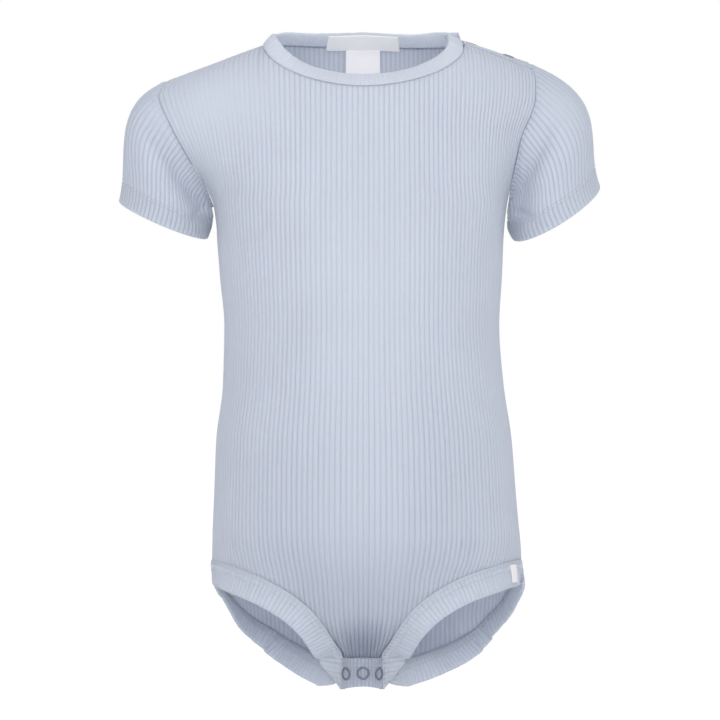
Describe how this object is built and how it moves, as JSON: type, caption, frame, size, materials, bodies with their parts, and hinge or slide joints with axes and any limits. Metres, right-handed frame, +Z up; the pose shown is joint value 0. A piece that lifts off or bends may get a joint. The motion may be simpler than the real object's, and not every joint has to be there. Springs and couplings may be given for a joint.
{
  "type": "baby romper",
  "caption": "Short-sleeved baby bodysuit in rib knit, hollow as worn, with bound neck and leg openings and ring snaps at one shoulder and the crotch.",
  "frame": {"origin": "in the middle of the neck opening, level with the shoulders, where the wearer's neck comes out", "axes": "+Z up out of the neck, -Y to the garment's front, +X to the right in the front view, which is the side of the shoulder snaps"},
  "size_m": [0.2989, 0.1517, 0.4101],
  "materials": {
    "rib_knit": "pale grey-blue rib knit, matt",
    "rib_binding": "the same rib knit, folded double as bindings and plackets",
    "woven_label": "plain white woven label",
    "snap_ring": "enamelled open ring snap in the cloth's colour"
  },
  "bodies": {
    "root": {"front_panel": "rib_knit", "back_panel": "rib_knit", "left_sleeve": "rib_knit", "right_sleeve": "rib_knit", "neck_binding": "rib_binding", "left_leg_binding": "rib_binding", "right_leg_binding": "rib_binding", "front_crotch_placket": "rib_binding", "back_crotch_placket": "rib_binding", "front_shoulder_placket": "rib_binding", "back_shoulder_placket": "rib_binding", "neck_label": "woven_label", "care_label": "woven_label", "side_label": "woven_label", "shoulder_snap_1_outer": "snap_ring", "shoulder_snap_1_press": "snap_ring", "shoulder_snap_1_inner": "snap_ring", "shoulder_snap_2_outer": "snap_ring", "shoulder_snap_2_press": "snap_ring", "shoulder_snap_2_inner": "snap_ring", "crotch_snap_1_outer": "snap_ring", "crotch_snap_1_press": "snap_ring", "crotch_snap_1_inner": "snap_ring", "crotch_snap_2_outer": "snap_ring", "crotch_snap_2_press": "snap_ring", "crotch_snap_2_inner": "snap_ring", "crotch_snap_3_outer": "snap_ring", "crotch_snap_3_press": "snap_ring", "crotch_snap_3_inner": "snap_ring"}
  },
  "joints": []
}
